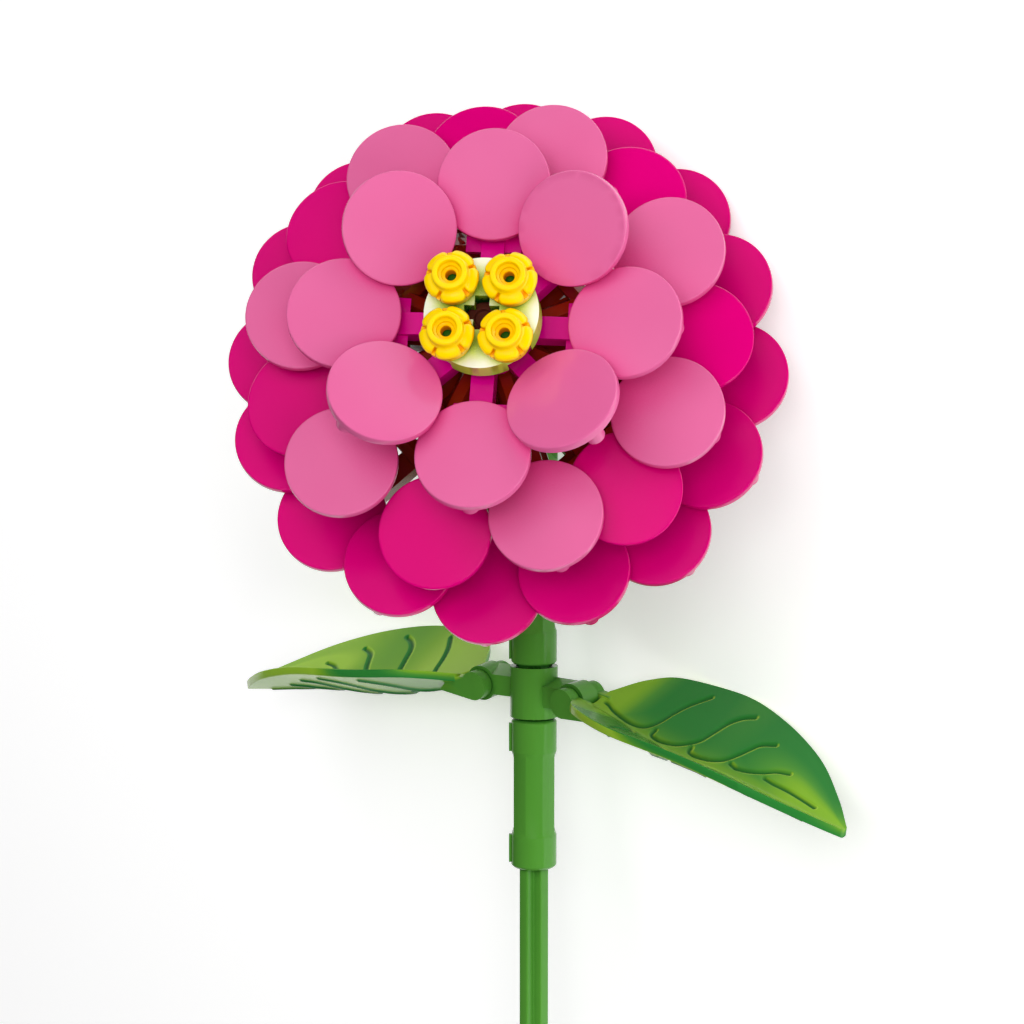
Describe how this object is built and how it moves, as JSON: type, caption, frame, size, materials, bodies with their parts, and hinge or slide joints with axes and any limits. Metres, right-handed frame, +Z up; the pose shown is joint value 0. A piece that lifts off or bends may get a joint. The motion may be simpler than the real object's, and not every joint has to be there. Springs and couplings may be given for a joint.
{
  "type": "brick-built zinnia flower",
  "caption": "Toy zinnia flower built from moulded plastic pieces, lying down: rings of round petal discs round a studded centre, on a jointed stem with hinged leaves.",
  "frame": {"origin": "middle of the footprint, on the surface the flower lies on", "axes": "+Z up, +Y along the flower from the stem's end towards the head, +X to the right hand when looking along +Y"},
  "size_m": [0.1212, 0.2352, 0.0676],
  "materials": {
    "petal_light": "light pink gloss plastic",
    "petal_magenta": "magenta gloss plastic",
    "blossom_yellow": "yellow gloss plastic",
    "plate_lime": "lime gloss plastic",
    "arm_magenta": "magenta gloss plastic",
    "rod_brown": "dark brown gloss plastic",
    "inner_red": "dark red gloss plastic",
    "stem_green": "green gloss plastic",
    "leaf_green": "green gloss plastic"
  },
  "bodies": {
    "root": {"blossom_1": "blossom_yellow", "blossom_2": "blossom_yellow", "blossom_3": "blossom_yellow", "blossom_4": "blossom_yellow", "carrier_back": "inner_red", "carrier_front": "arm_magenta", "carrier_middle": "inner_red", "center_plate": "plate_lime", "elbow": "stem_green", "frame_back": "inner_red", "frame_front": "inner_red", "leaf_collar": "stem_green", "leaf_left": "leaf_green", "leaf_right": "leaf_green", "neck_rod": "rod_brown", "neck_sleeve": "inner_red", "petal_inner_high_1": "petal_light", "petal_inner_high_2": "petal_light", "petal_inner_high_3": "petal_light", "petal_inner_high_4": "petal_light", "petal_inner_low_1": "petal_light", "petal_inner_low_2": "petal_light", "petal_inner_low_3": "petal_light", "petal_inner_low_4": "petal_light", "petal_outer_high_1": "petal_magenta", "petal_outer_high_2": "petal_magenta", "petal_outer_high_3": "petal_magenta", "petal_outer_high_4": "petal_magenta", "petal_outer_high_5": "petal_magenta", "petal_outer_high_6": "petal_magenta", "petal_outer_high_7": "petal_magenta", "petal_outer_high_8": "petal_magenta", "petal_outer_low_1": "petal_magenta", "petal_outer_low_2": "petal_magenta", "petal_outer_low_3": "petal_magenta", "petal_outer_low_4": "petal_magenta", "petal_outer_low_5": "petal_magenta", "petal_outer_low_6": "petal_magenta", "petal_outer_low_7": "petal_magenta", "petal_outer_low_8": "petal_magenta", "petal_second_1": "petal_light", "petal_second_2": "petal_light", "petal_second_3": "petal_light", "petal_second_4": "petal_light", "petal_second_5": "petal_light", "petal_second_6": "petal_light", "petal_second_7": "petal_light", "petal_third_1": "petal_magenta", "petal_third_2": "petal_magenta", "petal_third_3": "petal_magenta", "petal_third_4": "petal_magenta", "petal_third_5": "petal_magenta", "petal_third_6": "petal_magenta", "petal_third_7": "petal_magenta", "sleeve_lower": "stem_green", "sleeve_upper": "stem_green", "stem_axle": "stem_green", "stem_axle_inner": "stem_green"}
  },
  "joints": []
}
